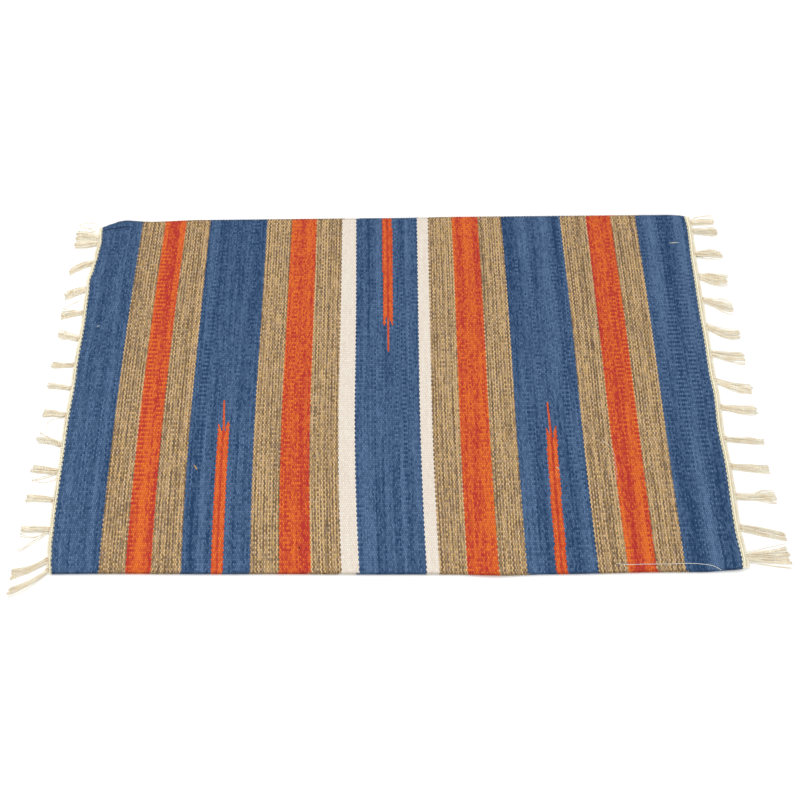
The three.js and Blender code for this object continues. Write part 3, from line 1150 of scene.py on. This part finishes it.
def smooth_course(places, height):
    """A smooth path through places on the floor or the cloth."""
    ends = [places[0], *places, places[-1]]
    path = []
    for first, second, third, fourth in zip(ends, ends[1:], ends[2:], ends[3:]):
        for step in range(COURSE_STEPS):
            t = step / COURSE_STEPS
            x, y = (
                0.5 * (2 * b + (c - a) * t + (2 * a - 5 * b + 4 * c - d) * t * t
                       + (3 * b - a - 3 * c + d) * t * t * t)
                for a, b, c, d in zip(first, second, third, fourth)
            )
            path.append((x, y, height(x, y)))
    path.append((*places[-1], height(*places[-1])))
    return path


def strands(end):
    """Strands that stray from the tassels, and fine ends that stand off them."""
    draw = random.Random(end["seed"] + 1)

    def on_floor(x, _):
        start, length = STRAND_DESCENT
        return STRAND_RADIUS + STRAND_RISE * (1 - smooth((abs(x) - start) / length))

    paths = []
    for places in end["strands"]:
        for _ in range(STRAND_YARNS):
            moved = [
                (x, y + draw.uniform(-0.5, 0.5) * min(1, index))
                for index, (x, y) in enumerate(places)
            ]
            paths.append(smooth_course(moved, on_floor))
    for tassel in end["tassels"]:
        for _ in range(FLYAWAYS):
            spread = draw.choice((-1, 1)) * draw.uniform(0.9, 1.5)
            paths.append(yarn_path(end, tassel, spread, draw))
    return paths, {"Radius": STRAND_RADIUS * MM}


def thread(places, radius):
    """A thread or hair that lies on the cloth."""
    def on_top(x, y):
        return CLOTH_THICKNESS + radius * UNSUNK + lift_at(x, y)

    return [smooth_course(places, on_top)], {"Radius": radius * MM}


def floor(material):
    """A square floor under the origin."""
    mesh = bpy.data.meshes.new("floor")
    corners = [
        (x * FLOOR_REACH, y * FLOOR_REACH, 0) for x, y in ((-1, -1), (1, -1), (1, 1), (-1, 1))
    ]
    mesh.from_pydata(corners, [], [(0, 1, 2, 3)])
    mesh.materials.append(material)
    return stand("floor", mesh)


def camera():
    data = bpy.data.cameras.new("camera")
    data.lens = LENS
    data.sensor_width = SENSOR
    eye = stand("camera", data)
    eye.location = CAMERA_PLACE
    eye.rotation_euler = [math.radians(turn) for turn in CAMERA_TURN]
    bpy.context.scene.camera = eye


def key_light():
    """A round lamp that is aimed at the origin."""
    data = bpy.data.lights.new("key_light", "AREA")
    data.shape = "DISK"
    data.size = LAMP_SIZE
    data.energy = LAMP_POWER
    light = stand("key_light", data)
    light.location = LAMP_PLACE
    light.rotation_euler = light.location.to_track_quat("Z", "Y").to_euler()


def plain_world():
    """A white world, and colours shown as they are."""
    world = bpy.data.worlds.new("studio")
    bpy.context.scene.world = world
    world.use_nodes = True
    background = world.node_tree.nodes["Background"]
    background.inputs["Color"].default_value = (1, 1, 1, 1)
    background.inputs["Strength"].default_value = WORLD_LIGHT
    bpy.context.scene.view_settings.view_transform = "Standard"


camera()
plain_world()
key_light()
floor(floor_material())

cottons = {name: cotton_material(name + "_cotton", sides) for name, sides in COTTONS.items()}
woven = cloth_material()
yarn = yarn_tree()
wrap = wrap_tree()


def belongs(piece, node):
    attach(piece, "root")
    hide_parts(node)
    return piece


cloth = belongs(woven_cloth(woven), "rug_body")
for name, v in (("selvedge_far", CLOTH_WIDTH / 2), ("selvedge_near", -CLOTH_WIDTH / 2)):
    piece = grow_along(name, wrap, woven, *selvedge(v))
    belongs(piece, "rug_body")
for which, end in ENDS.items():
    for kind, build, tree, cotton in (
        ("heading_cord_", heading_cord, yarn, "bright"),
        ("heading_wrap_", heading_wrap, wrap, "edging"),
        ("knots_", knots, wrap, "knotted"),
        ("tassels_", tassels, yarn, "cream"),
        ("strands_", strands, yarn, "cream"),
    ):
        piece = grow_along(kind + which, tree, cottons[cotton], *build(end))
        belongs(piece, "fringe_" + which)
for name, radius, places in THREADS:
    piece = grow_along(name, yarn, cottons["white"], *thread(places, radius))
    belongs(piece, "rug_body")
